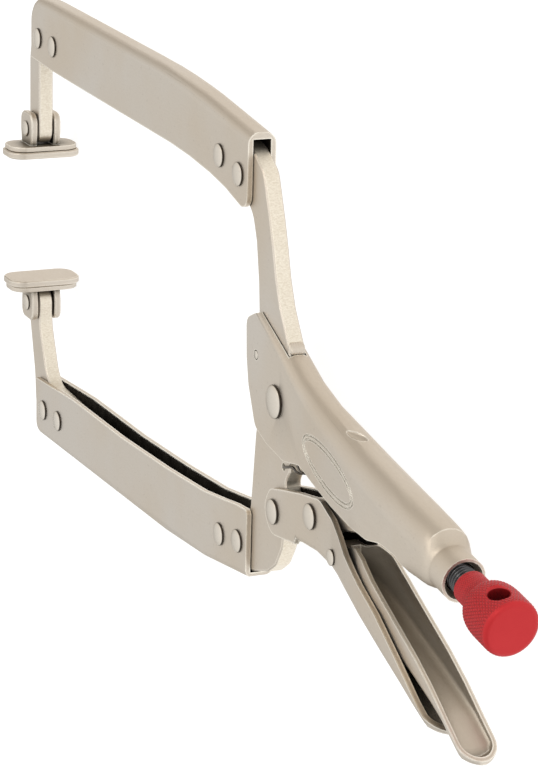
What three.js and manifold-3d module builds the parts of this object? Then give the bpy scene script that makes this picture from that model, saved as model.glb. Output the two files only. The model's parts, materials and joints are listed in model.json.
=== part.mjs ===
// Long-reach locking C-clamp pliers with swivel pads, lying on their side.
// Millimetres. +X runs from the jaws to the adjusting knob, +Y from the lower arm
// to the upper arm, +Z is up out of the side that faces the viewer.
import * as THREE from 'three';
import { mergeVertices } from 'three/addons/utils/BufferGeometryUtils.js';
import Module from 'manifold-3d';

const wasm = await Module();
wasm.setup();

// ---------- driving dimensions ----------
const plateThickness = 6.5;       // jaw bars and legs
const sheet = 2.0;                // arm channels and lever
const releaseSheet = 1.5;
const shellWall = 2.2;            // fixed handle
const clearance = 0.3;            // between neighbours
const seat = 0.15;                // under a rivet head
const reachFront = -270.2;        // front edge of the upper arm
const upperRear = -23.6;          // rear end of the upper arm
const lowerFront = -262;
const lowerRear = -17;
const upperTop = 103;             // outer face of the upper arm at the front
const lowerBottom = -96;          // outer face of the lower arm at the front
const bendRadius = 4;             // of the arm channels
const legWidth = 13;
const lowerLegWidth = 14;
const padLength = 20;             // along the reach
const padWidth = 33;              // across the thickness
const padThickness = 3;
const bracketThickness = 2.2;
const earThickness = 3;
const padPinHeight = 12.2;        // pin centre above the pad face
const upperPadPin = [reachFront + 0.2, 43];
const lowerPadPin = [lowerFront - 6.8, -37];
const mainPivot = [6.6, -4.8];
const leverPivot = [7.2, -46.9];
const linkPivot = [39.6, -38.1];
const releasePivot = [60.2, -46.3];
const linkEnd = [106.7, -19.9];   // on the screw axis
const frontPin = [-11.5, 8];
const springLug = [73, -9.6];
const hookHole = [10.3, -28.9];
const screwTilt = -8 * Math.PI / 180;
const tubeEnd = 39.6;             // distances along the screw axis from the link end
const knobStart = 43.4;
const knobHeadStart = 54;
const knobEnd = 73.2;
const screwTip = 8.4;
const screwRadius = 5;
const screwPitch = 1.5;
const threadDepth = 0.9;
const studRadius = 3;             // inside the knob
const studLength = 4;             // past the start of the knob head
const tubeRadius = 7.9;
const mouthRadius = 6.9;          // of the flare at the tube end
const knobNeckRadius = 5.9;
const knobRadius = 10.1;
const crossHoleRadius = 3.7;
const crossHoleTurn = 12 * Math.PI / 180;
const crossHoleBack = 7.9;        // from the knob's end face
const wireRadius = 0.55;
const coilRadius = 2.9;
const leverHalfWidth = 9.85;      // of the trough, outside
const releaseHalfWidth = 7.2;
const rivetShank = 2.4;
const rivetHead = 4.5;
const pivotShank = 4;
const leverShank = 3.2;
const releaseShank = 2;
const frontPinRadius = 1.6;
const padPin = 2;

const halfPlate = plateThickness / 2;
const channelInner = halfPlate + clearance;
const channelOuter = channelInner + sheet;
const shellOuter = channelInner + shellWall;
const boreRadius = screwRadius + clearance;

// ---------- materials ----------
function finish(color, metalness, roughness) {
  return new THREE.MeshStandardMaterial({ color, metalness, roughness });
}
const nickel = finish(0xc9c2b6, 0.9, 0.38);
const bright = finish(0xd6d0c6, 0.95, 0.25);
const black = finish(0x2c2e30, 0.7, 0.5);
const red = finish(0xc5343f, 0.5, 0.5);

// ---------- solid helpers ----------
function solid(geometry) {
  const bare = new THREE.BufferGeometry();
  bare.setAttribute('position', geometry.getAttribute('position').clone());
  if (geometry.index) bare.setIndex(geometry.index.clone());
  const joined = mergeVertices(bare, 1e-4);
  const source = joined.index.array;
  const tri = [];
  for (let i = 0; i < source.length; i += 3) {
    const [a, b, c] = [source[i], source[i + 1], source[i + 2]];
    if (a !== b && b !== c && c !== a) tri.push(a, b, c);
  }
  const vertProperties = new Float32Array(joined.getAttribute('position').array);
  const made = (list) => new wasm.Manifold(
    new wasm.Mesh({ numProp: 3, vertProperties, triVerts: new Uint32Array(list) }),
  );
  const body = made(tri);
  return body.volume() < 0 ? made(tri.reverse()) : body;
}

function part(name, body, material) {
  const data = body.getMesh();
  const geometry = new THREE.BufferGeometry();
  geometry.setAttribute('position', new THREE.BufferAttribute(new Float32Array(data.vertProperties), 3));
  geometry.setIndex(new THREE.BufferAttribute(new Uint32Array(data.triVerts), 1));
  const flat = geometry.toNonIndexed();
  flat.computeVertexNormals();
  const mesh = new THREE.Mesh(flat, material);
  mesh.name = name;
  return mesh;
}

// Closed outline from [x, y, cornerRadius] points. Corners become arcs, with more
// segments on longer ones.
function outline(points) {
  const out = [];
  const count = points.length;
  for (let i = 0; i < count; i += 1) {
    const here = new THREE.Vector2(points[i][0], points[i][1]);
    const radius = points[i][2] || 0;
    if (!radius) {
      out.push(here);
      continue;
    }
    const before = points[(i + count - 1) % count];
    const after = points[(i + 1) % count];
    const u = new THREE.Vector2(before[0], before[1]).sub(here);
    const v = new THREE.Vector2(after[0], after[1]).sub(here);
    const room = Math.min(u.length(), v.length()) * 0.49;
    u.normalize();
    v.normalize();
    const half = Math.acos(THREE.MathUtils.clamp(u.dot(v), -1, 1)) / 2;
    const reach = Math.min(radius / Math.tan(half), room);
    const arc = reach * Math.tan(half);
    const middle = u.clone().add(v).normalize();
    const centre = here.clone().add(middle.multiplyScalar(arc / Math.sin(half)));
    const first = here.clone().add(u.multiplyScalar(reach)).sub(centre);
    const last = here.clone().add(v.multiplyScalar(reach)).sub(centre);
    let sweep = last.angle() - first.angle();
    if (sweep > Math.PI) sweep -= 2 * Math.PI;
    if (sweep < -Math.PI) sweep += 2 * Math.PI;
    const steps = THREE.MathUtils.clamp(Math.ceil(Math.abs(sweep) * Math.sqrt(arc) * 1.5), 2, 16);
    for (let k = 0; k <= steps; k += 1) {
      const turn = first.clone().rotateAround(new THREE.Vector2(), sweep * k / steps);
      out.push(centre.clone().add(turn));
    }
  }
  return out;
}

// Flat piece of the outline between two heights, with an edge break if wanted.
function plate(points, low, high, edge = 0, segments = 1) {
  const shape = new THREE.Shape(outline(points));
  const geometry = new THREE.ExtrudeGeometry(shape, {
    depth: high - low - 2 * edge,
    bevelEnabled: edge > 0,
    bevelThickness: edge,
    bevelSize: edge,
    bevelOffset: -edge,
    bevelSegments: segments,
    steps: 1,
  });
  geometry.translate(0, 0, low + edge);
  return solid(geometry);
}

function bar(points, half, edge = 0.6) {
  return plate(points, -half, half, edge);
}

function box(x0, x1, y0, y1, z0, z1) {
  const geometry = new THREE.BoxGeometry(x1 - x0, y1 - y0, z1 - z0);
  geometry.translate((x0 + x1) / 2, (y0 + y1) / 2, (z0 + z1) / 2);
  return solid(geometry);
}

// Body turned about a line parallel to Z through (x, y); profile is [radius, height].
function turned(profile, x, y, segments = 24) {
  const geometry = new THREE.LatheGeometry(profile.map((p) => new THREE.Vector2(p[0], p[1])), segments);
  geometry.rotateX(Math.PI / 2);
  geometry.translate(x, y, 0);
  return solid(geometry);
}

function pinHole(at, radius, half = 40) {
  return turned([[0, -half], [radius, -half], [radius, half], [0, half]], at[0], at[1], 24);
}

function drilled(body, places, radius) {
  return places.reduce((out, at) => out.subtract(pinHole(at, radius + clearance)), body);
}

// Body turned about the screw axis; profile is [radius, distance from the link end].
function alongScrew(profile, segments = 28) {
  const geometry = new THREE.LatheGeometry(profile.map((p) => new THREE.Vector2(p[0], p[1])), segments);
  geometry.rotateZ(-Math.PI / 2 + screwTilt);
  geometry.translate(linkEnd[0], linkEnd[1], 0);
  return solid(geometry);
}

function onScrew(distance) {
  const x = linkEnd[0] + distance * Math.cos(screwTilt);
  const y = linkEnd[1] + distance * Math.sin(screwTilt);
  return [x, y];
}

// Low domed rivet through a stack of the given half height.
function rivet(at, half, headRadius, headHeight, shankRadius) {
  const under = half + seat;
  const top = under + headHeight;
  const up = [
    [shankRadius, under],
    [headRadius, under],
    [headRadius * 0.96, under + headHeight * 0.45],
    [headRadius * 0.66, under + headHeight * 0.88],
    [0, top],
  ];
  const down = up.map((p) => [p[0], -p[1]]).reverse();
  return turned([...down, ...up], at[0], at[1], 20);
}

// Solid through rings of equal point count.
function loft(rings) {
  const count = rings[0].length;
  const positions = rings.flat(2);
  const index = [];
  for (let r = 0; r + 1 < rings.length; r += 1) {
    for (let k = 0; k < count; k += 1) {
      const a = r * count + k;
      const b = r * count + (k + 1) % count;
      index.push(a, b, a + count, b, b + count, a + count);
    }
  }
  const last = (rings.length - 1) * count;
  for (let k = 1; k + 1 < count; k += 1) {
    index.push(0, k + 1, k);
    index.push(last, last + k, last + k + 1);
  }
  const geometry = new THREE.BufferGeometry();
  geometry.setAttribute('position', new THREE.Float32BufferAttribute(positions, 3));
  geometry.setIndex(index);
  return solid(geometry);
}

// Ring across X: straight sides, elliptical crown above and keel below.
function ring(x, top, bottom, half, crown, keel, lean = 0, steps = 10) {
  const points = [];
  const middle = (top + bottom) / 2;
  for (let k = 0; k <= steps; k += 1) {
    const a = Math.PI * k / steps;
    points.push([0, top - crown + crown * Math.sin(a), half * Math.cos(a)]);
  }
  for (let k = 0; k <= steps; k += 1) {
    const a = Math.PI + Math.PI * k / steps;
    points.push([0, bottom + keel + keel * Math.sin(a), half * Math.cos(a)]);
  }
  return points.map((p) => [x + lean * (p[1] - middle), p[1], p[2]]);
}

// ---------- arms ----------
function upperArmSpine(inset) {
  return [
    [reachFront + inset, upperTop - inset, 26 - inset],
    [reachFront + 23, upperTop - 0.1 - inset],
    [upperRear - 67, upperTop - 5.2 - inset, 700],
  ];
}

function upperArmOutline() {
  return [
    [reachFront, 76, 2],
    ...upperArmSpine(0),
    [upperRear, upperTop - 14.2, 2],
    [upperRear, 58.6, 5],
    [upperRear - 21, 64],
    [upperRear - 36, 66.5],
    [upperRear - 56, 68.7],
    [upperRear - 76, 70],
    [reachFront + 70, 73],
    [reachFront + 34, 74],
  ];
}

function upperArmChannel() {
  const body = plate([
    [reachFront, 60],
    ...upperArmSpine(0),
    [upperRear + 6, upperTop - 15.5],
    [upperRear + 6, 50],
    [upperRear - 95, 50],
  ], -channelOuter, channelOuter, bendRadius, 5);
  const trim = plate(upperArmOutline(), -20, 20);
  const hollow = plate([
    [reachFront + sheet, 30],
    ...upperArmSpine(sheet),
    [upperRear + 12, upperTop - 16.8 - sheet],
    [upperRear + 12, 30],
  ], -channelInner, channelInner);
  const mouth = box(reachFront - 9, reachFront + 14, 30, 93, -channelInner, channelInner);
  return drilled(body.intersect(trim).subtract(hollow).subtract(mouth), upperRivets(), rivetShank);
}

function upperRivets() {
  return [
    [reachFront + 12.5, 85.4], [reachFront + 31.7, 84.8],
    [upperRear - 27, 74.9], [upperRear - 8.6, 71.6],
  ];
}

function lowerRivets() {
  return [
    [lowerFront + 12, -83.1], [lowerFront + 31.7, -82.4],
    [lowerRear - 26, -72.6], [lowerRear - 8.3, -69.4],
  ];
}

function lowerArmSpine(inset) {
  return [
    [lowerFront + 12, lowerBottom + inset],
    [lowerFront + 62, lowerBottom + 1.5 + inset],
    [lowerRear - 83, lowerBottom + 5 + inset],
    [lowerRear - 43, lowerBottom + 8 + inset],
  ];
}

function lowerArmChannel() {
  const body = plate([
    [lowerFront, -60],
    [lowerFront, lowerBottom - 0.4, 12],
    ...lowerArmSpine(0),
    [lowerRear + 6, lowerBottom + 15.2],
    [lowerRear + 6, -45],
    [-120, -45],
  ], -channelOuter, channelOuter, bendRadius - 1, 4);
  const trim = plate([
    [lowerFront, -70.5, 2],
    [lowerFront, lowerBottom - 0.4, 12],
    ...lowerArmSpine(0),
    [lowerRear, lowerBottom + 14.4, 2],
    [lowerRear, -54.5, 2],
    [lowerRear - 11, -55.5],
    [lowerRear - 23, -57.5],
    [lowerRear - 43, -60.5],
    [lowerRear - 83, -63.5],
    [lowerFront + 112, -66],
    [lowerFront + 52, -67],
  ], -20, 20);
  const hollow = plate([
    [lowerFront - 12, lowerBottom + sheet - 0.3],
    ...lowerArmSpine(sheet),
    [lowerRear + 12, lowerBottom + 16.1 + sheet],
    [lowerRear + 12, -30],
    [lowerFront - 12, -30],
  ], -channelInner, channelInner);
  return drilled(body.intersect(trim).subtract(hollow), lowerRivets(), rivetShank);
}

function upperArmLeg() {
  const front = upperPadPin[0] - 5.6;
  const rear = front + legWidth;
  const round = legWidth / 2 - 0.1;
  const out = bar([
    [front, upperPadPin[1] - round, round],
    [front, upperTop - 9, 22],
    [front + 49.6, upperTop - 9, 6],
    [front + 49.6, 77.5, 4],
    [rear, 77.5, 3],
    [rear, upperPadPin[1] - round, round],
  ], halfPlate);
  return drilled(drilled(out, [upperPadPin], padPin), upperRivets().slice(0, 2), rivetShank);
}

function lowerArmLeg() {
  const left = lowerPadPin[0] - lowerLegWidth / 2;
  const right = left + lowerLegWidth;
  const round = lowerLegWidth / 2 - 0.4;
  const out = bar([
    [left, lowerPadPin[1] + round, round],
    [left + 0.4, -46],
    [lowerFront - 6.5, -70, 30],
    [lowerFront - 4, lowerBottom + 3.1, 13],
    [lowerFront + 56, lowerBottom + 4.4, 4],
    [lowerFront + 56, -72.5, 5],
    [lowerFront + 11, -71, 14],
    [right - 0.6, -46, 20],
    [right, lowerPadPin[1] + round, round],
  ], halfPlate);
  return drilled(drilled(out, [lowerPadPin], padPin), lowerRivets().slice(0, 2), rivetShank);
}

// ---------- jaw bars ----------
function fixedJawBar() {
  const out = bar([
    [-16, 3.4, 2],
    [-15.7, 24],
    [-16.7, 34],
    [-19.7, 49],
    [-24.7, 61, 12],
    [upperRear - 35, 65.2, 4],
    [upperRear - 35, 87.5, 4],
    [-27, 83.2, 14],
    [-14.7, 76, 8],
    [-11.7, 69],
    [-7.7, 59],
    [-4.2, 49],
    [-1.2, 39],
    [3.3, 29],
    [10.3, 19],
    [12.5, 15.8],
    [12.5, 9.6, 1.5],
    [-3.5, 9.6, 3],
    [-7.5, 3.4, 2],
  ], halfPlate);
  return drilled(drilled(out, [frontPin], frontPinRadius), upperRivets().slice(2), rivetShank);
}

function lowerJawBar() {
  const [px, py] = mainPivot;
  const hub = 11;
  const arm = bar([
    [px - hub, py - 5, 4],
    [px - hub, py + hub, hub],
    [px + hub, py + hub, hub],
    [px + hub, py - 8, 4],
    [16.2, -20, 3],
    [15.4, -29.8, 1.2],
    [12, -34, 4],
    [14.6, -45, 4],
    [11.3, -56, 6],
    [10.3, -61, 6],
    [5.3, -69, 5],
    [-1.7, -74, 5],
    [lowerRear, lowerBottom + 17.1],
    [lowerRear - 23, lowerBottom + 13.8],
    [lowerRear - 37, lowerBottom + 11.8, 3],
    [lowerRear - 37, -63.2, 3],
    [-30, -59.3],
    [-19.5, -56, 5],
    [-18.7, -50],
    [-15.7, -21, 8],
  ], halfPlate);
  let out = drilled(arm, [mainPivot], pivotShank);
  out = drilled(out, [leverPivot], leverShank);
  out = drilled(out, [hookHole], wireRadius + 2 * clearance);
  return drilled(out, lowerRivets().slice(2), rivetShank);
}

// ---------- fixed handle ----------
// Stations of the handle shell: x, top, bottom, half width, crown, keel, lean.
function shellStations() {
  const lean = -Math.tan(screwTilt);
  return [
    [10, 15.6, -45, shellOuter, 3.5, 0.5, 0],
    [25, 9.0, -45, shellOuter + 0.4, 5, 0.5, 0],
    [40, 4.7, -45, shellOuter + 0.9, 6.4, 0.5, 0],
    [58, 1.4, -45, shellOuter + 1.9, 7.6, 0.5, 0],
    [78, -2.4, -45, shellOuter + 3.0, 8.7, 0.5, 0],
    [104, -6.6, -45, shellOuter + 3.6, 9.4, 0.5, 0],
    [112, -7.9, -38, shellOuter + 3.6, 9.4, 3, lean / 2],
    [118, -8.9, -33.0, shellOuter + 3.5, 9.3, 6, lean],
    [124, -9.8, -33.0, shellOuter + 3.4, 9.3, 8, lean],
    [129, -10.7, -33.2, shellOuter + 3.3, 9.2, 8.8, lean],
    [132.4, -11.6, -33.2, shellOuter + 3.1, 9.1, 9, lean],
  ];
}

function shellOutside() {
  const [endX, endY] = onScrew(tubeEnd);
  const lean = -Math.tan(screwTilt);
  const tube = (x, grow) => {
    const y = linkEnd[1] - (x - linkEnd[0]) * lean;
    const r = tubeRadius + grow;
    return ring(x, y + r, y - r, r, r, r, lean);
  };
  return loft([
    ring(-30, 32.5, -45, shellOuter, 2.5, 0.5),
    ...shellStations().map((station) => ring(...station)),
    tube(134.6, 0.9),
    tube(135.9, 0.25),
    tube(136.6, 0),
    ring(endX, endY + tubeRadius, endY - tubeRadius, tubeRadius, tubeRadius, tubeRadius, lean),
  ]);
}

function shellInside() {
  const w = shellWall;
  const open = shellStations().slice(0, 6).map(([x, top, , half, crown]) => (
    ring(x, top - w, -80, half - w, crown - w * 0.75, 0.5)));
  return loft([
    ring(-40, 36.7 - w, -80, shellOuter - w, 2, 0.5),
    ...open,
    ring(110, -7.6 - w, -60, shellOuter + 3.6 - w, 7.2, 1),
    ring(118, -9.2 - w, -31 + w, shellOuter + 3.4 - w, 7.1, 5),
    ring(126, -11.2 - w, -31.6 + w, shellOuter + 2.6 - w, 6.6, 6.4),
    ring(131, -15.2, -29.0, boreRadius + 0.8, 6, 6),
  ]);
}

function shellOutline() {
  return [
    [170, 60],
    [-20, 60],
    [-20.9, 28.8],
    [-21, 17, 3],
    [-20.2, 5, 10],
    [-18, -5, 10],
    [-11, -19.5, 6],
    [0, -23, 10],
    [15, -25, 8],
    [30, -21.8, 10],
    [42, -24.3, 8],
    [60, -27, 10],
    [78, -28.6, 20],
    [92, -28.8, 12],
    [103, -26.2, 12],
    [114, -26.6, 8],
    [121, -29.5, 3],
    [126, -38],
    [170, -60],
  ];
}

function fixedHandleShell() {
  const slot = box(-40, 13.1, 8, 60, -channelInner, channelInner);
  const corner = plate([
    [-40, 13],
    [-21.5, 13],
    [-20.6, 20, 4],
    [-11, 24.6, 6],
    [-2, 20.9],
    [-2, 60],
    [-40, 60],
  ], -20, 20);
  const bore = alongScrew([
    [0, 8], [boreRadius, 8], [boreRadius, tubeEnd - 2.4], [mouthRadius, tubeEnd + 0.01],
    [mouthRadius, tubeEnd + 6], [0, tubeEnd + 6],
  ]);
  const lug = plate([
    [springLug[0] - 4, springLug[1] - 2.6, 2],
    [springLug[0] - 4, -2.5],
    [springLug[0] + 4, -3.2],
    [springLug[0] + 4, springLug[1] - 2.6, 2],
  ], -1, 1);
  let out = shellOutside().intersect(plate(shellOutline(), -30, 30));
  out = out.subtract(corner).subtract(shellInside()).subtract(slot).subtract(bore);
  out = out.add(lug).subtract(pinHole(springLug, wireRadius + 2 * clearance, 2));
  return drilled(drilled(out, [mainPivot], pivotShank), [frontPin], frontPinRadius);
}

// ---------- lever, link, release ----------
// Rounded end of a trough; rise lifts its floor towards the tip.
function troughTip(tipX, radius, top, bottom, rise, half) {
  const rings = [];
  for (let k = 1; k <= 6; k += 1) {
    const a = Math.PI / 2 * k / 6.6;
    const x = tipX - radius + radius * Math.sin(a);
    const w = half * Math.cos(a);
    rings.push(ring(x, top, bottom + rise * (1 - Math.cos(a)), w, 0.2, w * 0.7));
  }
  return rings;
}

// Stations of the lever: x, floor, widening from the flat part, keel.
function leverStations() {
  const wide = leverHalfWidth - channelOuter;
  return [
    [27, -52.4, 0, 3.2],
    [44, -51.2, 0, 3.4],
    [58, -52.6, 0.12 * wide, 4.4],
    [66, -54.6, 0.36 * wide, 5.6],
    [74, -57.0, 0.68 * wide, 7],
    [88, -62.4, 0.93 * wide, 8.3],
    [104, -68.2, wide, 8.6],
    [120, -73.8, wide, 8.4],
    [130, -77.4, wide, 8],
    [137.4, -79.6, wide, 7.4],
  ];
}

function leverHandle() {
  const wide = leverHalfWidth - channelOuter;
  const outside = loft([
    ring(-10, -20, -66, channelOuter, 0.5, 0.5),
    ring(22, -20, -62, channelOuter, 0.5, 0.5),
    ...leverStations().map(([x, floor, widen, keel]) => (
      ring(x, floor + 25, floor, channelOuter + widen, 0.5, keel))),
    ...troughTip(147.6, leverHalfWidth, -58, -80.4, 2.6, leverHalfWidth),
  ]);
  const inside = loft([
    ring(-20, 20, -70, channelInner, 0.5, 0.5),
    ring(25, 20, -70, channelInner, 0.5, 0.5),
    ...leverStations().map(([x, floor, widen, keel]) => (
      ring(x, 20, floor + sheet, channelInner + widen, 0.5, keel - 0.75 * sheet))),
    ...troughTip(147.6 - sheet, channelInner + wide, 20, -80.4 + sheet, 2.6, channelInner + wide),
  ]);
  const trim = plate([
    [-1.9, -46.9, 8],
    [3.5, -38.9, 6],
    [15, -36],
    [30, -32.5, 10],
    [47, -29.4, 9],
    [60, -33.6, 20],
    [80, -43.4, 20],
    [102, -52.2],
    [118, -61.2],
    [126, -65.8],
    [134, -70.6],
    [140, -74],
    [154, -80.2],
    [154, -110],
    [60, -110],
    [40, -70],
    [27, -52.6, 6],
    [16, -54.6],
    [4, -56.4, 8],
  ], -20, 20);
  const out = outside.intersect(trim).subtract(inside);
  return drilled(drilled(out, [leverPivot, linkPivot], leverShank), [releasePivot], releaseShank);
}

function toggleLink() {
  const half = halfPlate - 0.25;
  const dx = linkEnd[0] - linkPivot[0];
  const dy = linkEnd[1] - linkPivot[1];
  const angle = Math.atan2(dy, dx);
  const length = Math.hypot(dx, dy);
  const place = (u, v, r) => [
    linkPivot[0] + u * Math.cos(angle) - v * Math.sin(angle),
    linkPivot[1] + u * Math.sin(angle) + v * Math.cos(angle),
    r,
  ];
  const body = bar([
    place(-6.4, -6.4, 6.2),
    place(9, -6.4, 4),
    place(16, -4.4, 6),
    place(length - 10, -4.4, 6),
    place(length - 4, -5, 4),
    place(length + 5, -5, 4.6),
    place(length + 5, 5, 4.6),
    place(length - 4, 5, 4),
    place(length - 10, 4.4, 6),
    place(16, 4.4, 6),
    place(9, 6.4, 4),
    place(-6.4, 6.4, 6.2),
  ], half);
  return drilled(body, [linkPivot], leverShank);
}

// Stations of the release lever: x, floor, share of its widening, keel.
function releaseStations() {
  return [
    [66, -50.4, 0.05, 2.4],
    [74, -52.4, 0.38, 3.4],
    [80, -54.2, 0.7, 4],
    [86, -56.0, 0.9, 4],
    [94, -58.2, 1, 4],
    [114, -64.0, 1, 4],
    [127, -67.8, 1, 4],
    [139, -71.4, 1, 3.8],
    [148, -74.6, 1, 3.4],
    [158.6, -80.2, 1, 3.2],
  ];
}

function releaseLever() {
  const narrow = channelInner - clearance;
  const wide = releaseHalfWidth - narrow;
  const t = releaseSheet;
  const outside = loft([
    ring(54.5, -36, -49.2, narrow, 0.3, 2),
    ...releaseStations().map(([x, floor, share, keel]) => (
      ring(x, floor + 22, floor, narrow + share * wide, 0.3, keel))),
    ...troughTip(166, releaseHalfWidth, -58, -82.6, 1.4, releaseHalfWidth),
  ]);
  const inside = loft(
    releaseStations().map(([x, floor, share, keel]) => (
      ring(x, 20, floor + t, narrow + share * wide - t, 0.3, keel - 0.7 * t)))
      .concat(troughTip(166 - t, releaseHalfWidth - t, 20, -82.6 + t, 1.4, releaseHalfWidth - t)),
  );
  const trim = plate([
    [releasePivot[0] - 5, releasePivot[1] - 5, 4.6],
    [releasePivot[0] - 5, releasePivot[1] + 5, 4.6],
    [68, -40.4, 6],
    [76, -37.6, 5],
    [84, -38.8, 6],
    [92, -43, 8],
    [101, -47],
    [114, -52.6],
    [126.5, -57.9],
    [139, -64.2],
    [151, -71.4],
    [160.5, -76.9],
    [170, -82.4],
    [170, -110],
    [60, -110],
  ], -20, 20);
  return drilled(outside.intersect(trim).subtract(inside), [releasePivot], releaseShank);
}

// ---------- screw and knob ----------
function adjustingScrew() {
  const root = screwRadius - threadDepth;
  const crest = screwRadius - 0.05;
  const threadStart = tubeEnd - 3 * screwPitch;
  const profile = [[0, screwTip], [root - 0.5, screwTip], [root, screwTip + 0.6]];
  profile.push([root, threadStart]);
  const turns = Math.floor((knobStart - clearance - threadStart) / screwPitch);
  for (let k = 0; k < turns; k += 1) {
    const s = threadStart + k * screwPitch;
    profile.push([root, s + 0.2], [crest, s + 0.7], [crest, s + 0.9], [root, s + 1.4]);
  }
  profile.push([root, knobStart - clearance], [studRadius, knobStart - clearance]);
  profile.push([studRadius, knobHeadStart + studLength], [0, knobHeadStart + studLength]);
  return alongScrew(profile, 24);
}

function adjustingKnob() {
  const r = knobRadius;
  const body = alongScrew([
    [0, knobStart],
    [knobNeckRadius - 0.5, knobStart],
    [knobNeckRadius, knobStart + 0.5],
    [knobNeckRadius, knobHeadStart - 1.2],
    [knobNeckRadius + 0.7, knobHeadStart - 0.4],
    [r - 2.2, knobHeadStart + 0.8],
    [r - 1.1, knobHeadStart + 2.2],
    [r - 0.4, knobHeadStart + 4.6],
    [r, knobHeadStart + 8.5],
    [r, knobEnd - 1.9],
    [r - 0.2, knobEnd - 1.1],
    [r - 0.7, knobEnd - 0.5],
    [r - 1.4, knobEnd - 0.1],
    [r - 2, knobEnd],
    [0, knobEnd],
  ], 36);
  const socketRadius = studRadius + clearance;
  const socketEnd = knobHeadStart + studLength + clearance;
  const socket = alongScrew([
    [0, knobStart - 2], [socketRadius, knobStart - 2], [socketRadius, socketEnd], [0, socketEnd],
  ], 20);
  const hole = new THREE.CylinderGeometry(crossHoleRadius, crossHoleRadius, 3 * knobRadius, 24);
  hole.rotateX(crossHoleTurn);
  hole.rotateZ(screwTilt);
  const [hx, hy] = onScrew(knobEnd - crossHoleBack);
  hole.translate(hx, hy, 0);
  return body.subtract(socket).subtract(solid(hole));
}

// ---------- return spring ----------
function springPath() {
  const dx = springLug[0] - hookHole[0];
  const dy = springLug[1] - hookHole[1];
  const length = Math.hypot(dx, dy);
  const along = new THREE.Vector3(dx / length, dy / length, 0);
  const side = new THREE.Vector3(-along.y, along.x, 0);
  const up = new THREE.Vector3(0, 0, 1);
  const origin = new THREE.Vector3(hookHole[0], hookHole[1], 0);
  const at = (u, v, z) => origin.clone().addScaledVector(along, u).addScaledVector(side, v)
    .addScaledVector(up, z);
  const wide = halfPlate + clearance + wireRadius + 0.1;
  const points = [at(5.4, 0, -wide), at(3, 0, -wide), at(1.2, 0, -wide), at(0.1, 0, -wide + 1)];
  points.push(at(0, 0, 0), at(0.1, 0, wide - 1), at(1.2, 0, wide), at(5.8, 0, wide - 0.1));
  const start = 8;
  const finishAt = length - 4.2;
  const turns = 14;
  const steps = turns * 10;
  for (let k = 0; k <= steps; k += 1) {
    const a = 2 * Math.PI * k / 10;
    const u = start + (finishAt - start) * k / steps;
    points.push(at(u, -coilRadius * Math.sin(a), coilRadius * Math.cos(a)));
  }
  points.push(at(length - 1.2, 0, 2.5), at(length - 0.1, 0, 1.5), at(length, 0, 0));
  points.push(at(length - 0.1, 0, -1.5), at(length - 1.3, 0, -2.5), at(length - 3, 0, -2.4));
  return points;
}

// Round wire along a list of points, closed at both ends.
function wire(points, radius, sides = 6) {
  const rings = [];
  let normal = new THREE.Vector3(0.3, -0.9, 0.2);
  for (let i = 0; i < points.length; i += 1) {
    const before = points[Math.max(i - 1, 0)];
    const after = points[Math.min(i + 1, points.length - 1)];
    const tangent = after.clone().sub(before).normalize();
    normal = normal.clone().addScaledVector(tangent, -normal.dot(tangent)).normalize();
    const second = new THREE.Vector3().crossVectors(tangent, normal);
    const ringPoints = [];
    for (let k = 0; k < sides; k += 1) {
      const a = -2 * Math.PI * k / sides;
      const p = points[i].clone().addScaledVector(normal, radius * Math.cos(a))
        .addScaledVector(second, radius * Math.sin(a));
      ringPoints.push([p.x, p.y, p.z]);
    }
    rings.push(ringPoints);
  }
  return loft(rings);
}

function returnSpring() {
  return wire(springPath(), wireRadius);
}

// ---------- swivel pads ----------
// Pads are drawn with the face at y = 0 and the pin at y = padPinHeight.
function padLayer(low, high, inset, edge) {
  const x = padLength / 2 - inset;
  const z = padWidth / 2 - inset;
  const layer = plate([[-x, -z, 7], [x, -z, 7], [x, z, 7], [-x, z, 7]], -high, -low, edge, 2);
  return layer.rotate([90, 0, 0]);
}

function padPlate() {
  return padLayer(0, padThickness, 0, 0.6);
}

// Base with two upright ears that hold the leg between them.
function padBracket() {
  const inner = halfPlate + clearance + 0.3;
  const low = padThickness + clearance / 2;
  const top = padPinHeight + 7.5;
  const ear = plate([
    [-6, low + 0.4],
    [6, low + 0.4],
    [7.5, padPinHeight - 1, 5],
    [7.5, top, 7.3],
    [-7.5, top, 7.3],
    [-7.5, padPinHeight - 1, 5],
  ], inner, inner + earThickness, 0.5);
  const base = padLayer(low, low + bracketThickness, 0.8, 0.5);
  const bracket = base.add(ear).add(ear.mirror([0, 0, 1]));
  return drilled(bracket, [[0, padPinHeight]], padPin);
}

function padPinSolid() {
  const half = halfPlate + clearance + 0.3 + earThickness;
  return rivet([0, padPinHeight], half, 3.5, 0.9, padPin);
}

function pad(prefix, at, flip) {
  const settle = (body) => {
    const turn = body.translate([0, -padPinHeight, 0]).rotate([0, 0, flip ? 180 : 0]);
    return turn.translate([at[0], at[1], 0]);
  };
  return [
    part(`${prefix}_plate`, settle(padPlate()), nickel),
    part(`${prefix}_bracket`, settle(padBracket()), nickel),
    part(`${prefix}_pin`, settle(padPinSolid()), bright),
  ];
}

function shellFrontPin() {
  const proud = shellOuter + 0.25;
  return turned([
    [0, -proud], [frontPinRadius - 0.2, -proud], [frontPinRadius, -shellOuter],
    [frontPinRadius, shellOuter], [frontPinRadius - 0.2, proud], [0, proud],
  ], frontPin[0], frontPin[1], 20);
}

// ---------- assembly ----------
function rivetSet(prefix, places) {
  return places.map((at, i) => {
    const body = rivet(at, channelOuter, rivetHead, 1.3, rivetShank);
    return part(`${prefix}_${i + 1}`, body, bright);
  });
}

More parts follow.
